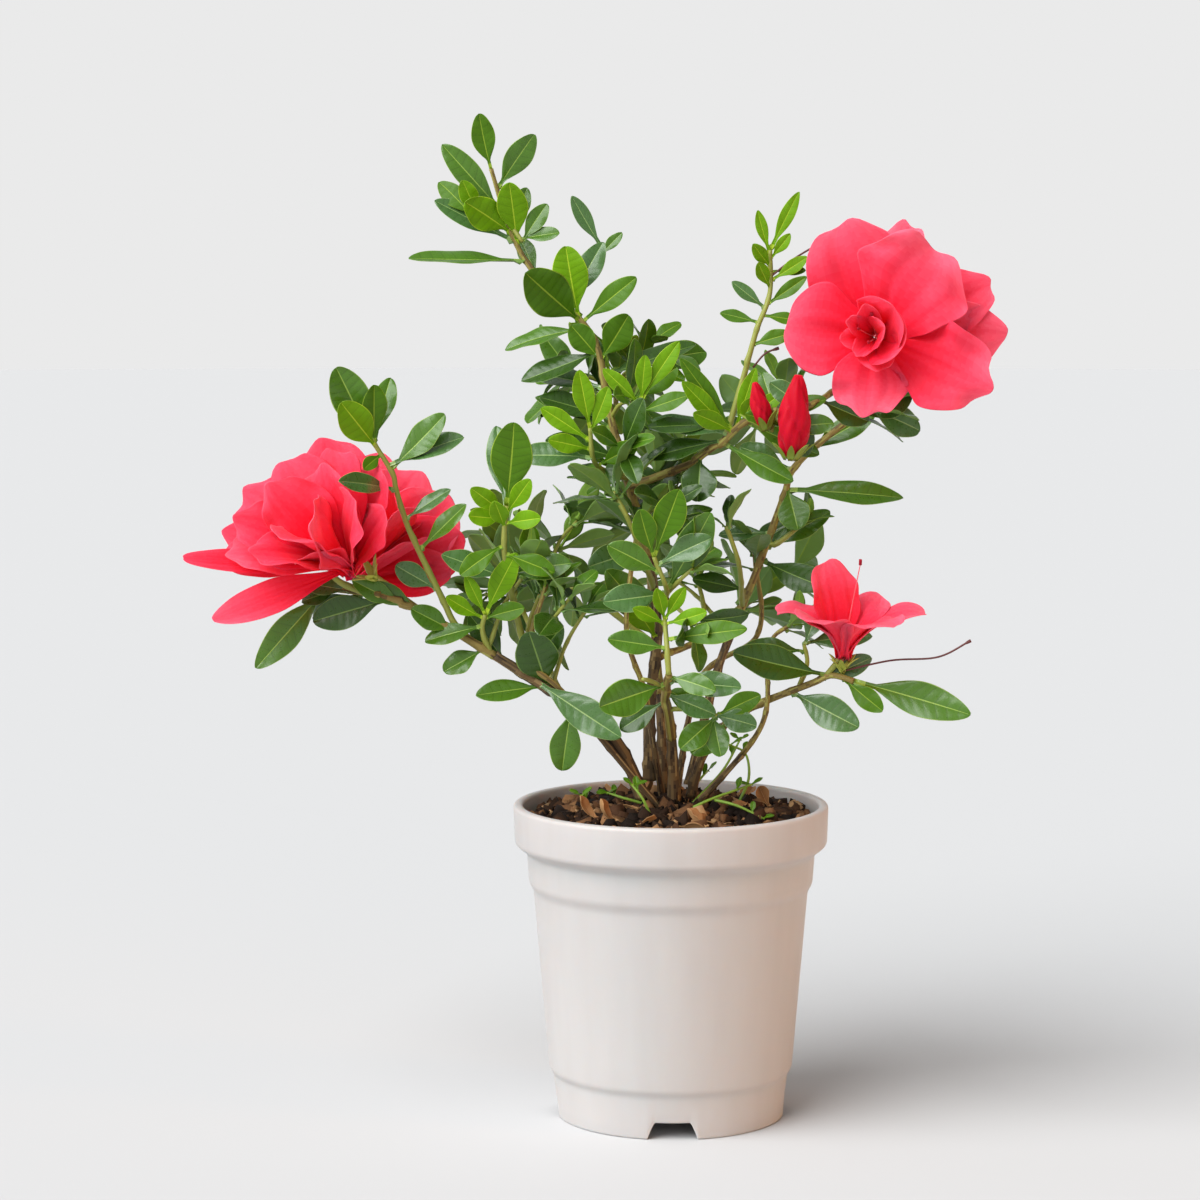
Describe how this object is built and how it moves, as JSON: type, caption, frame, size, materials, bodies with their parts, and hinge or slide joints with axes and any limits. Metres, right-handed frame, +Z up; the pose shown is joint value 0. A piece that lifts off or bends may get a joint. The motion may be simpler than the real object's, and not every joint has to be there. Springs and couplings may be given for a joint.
{
  "type": "azalea shrub in a pot",
  "caption": "Small open azalea shrub with double blooms, standing in a round tapered plastic nursery pot with a banded rim and a notched foot.",
  "frame": {"origin": "centre of the pot's underside, on the flat pad in its middle", "axes": "+Z up along the pot's axis, +X to the right of the plant's best side, +Y away behind it"},
  "size_m": [0.3124, 0.1707, 0.3805],
  "materials": {
    "pot": "satin",
    "potting_mix": "matte",
    "bark": "matte",
    "green_shoot": "satin",
    "foliage": "satin",
    "blossom": "matte"
  },
  "bodies": {
    "root": {"back_high": "foliage", "back_high_bough": "bark", "back_left": "foliage", "back_low": "foliage", "back_low_bough": "bark", "back_middle": "foliage", "back_stem": "bark", "centre_fore": "foliage", "crown_fork": "green_shoot", "crown_side": "foliage", "crown_tip": "foliage", "far_left_bough": "bark", "front_rosette": "foliage", "front_stem": "bark", "hanging_leaf": "foliage", "heart": "foliage", "inner_core": "foliage", "inner_left": "foliage", "left_back_bloom": "blossom", "left_bloom": "blossom", "left_fore": "foliage", "left_low": "foliage", "left_riser": "green_shoot", "left_stem": "bark", "left_top": "foliage", "left_under": "foliage", "low_bloom": "blossom", "low_front": "foliage", "low_right": "foliage", "low_right_bough": "bark", "main_stem": "bark", "pot": "pot", "potting_mix": "potting_mix", "right_back": "foliage", "right_bloom": "blossom", "right_bud": "blossom", "right_inner": "foliage", "right_low": "foliage", "right_mid": "foliage", "right_riser": "green_shoot", "right_rosette": "foliage", "right_shoot": "foliage", "right_stem": "bark", "right_upper": "foliage", "upper_left_spray": "foliage", "upper_right_bough": "green_shoot", "upper_right_spray": "foliage", "upper_whorl": "foliage"}
  },
  "joints": []
}
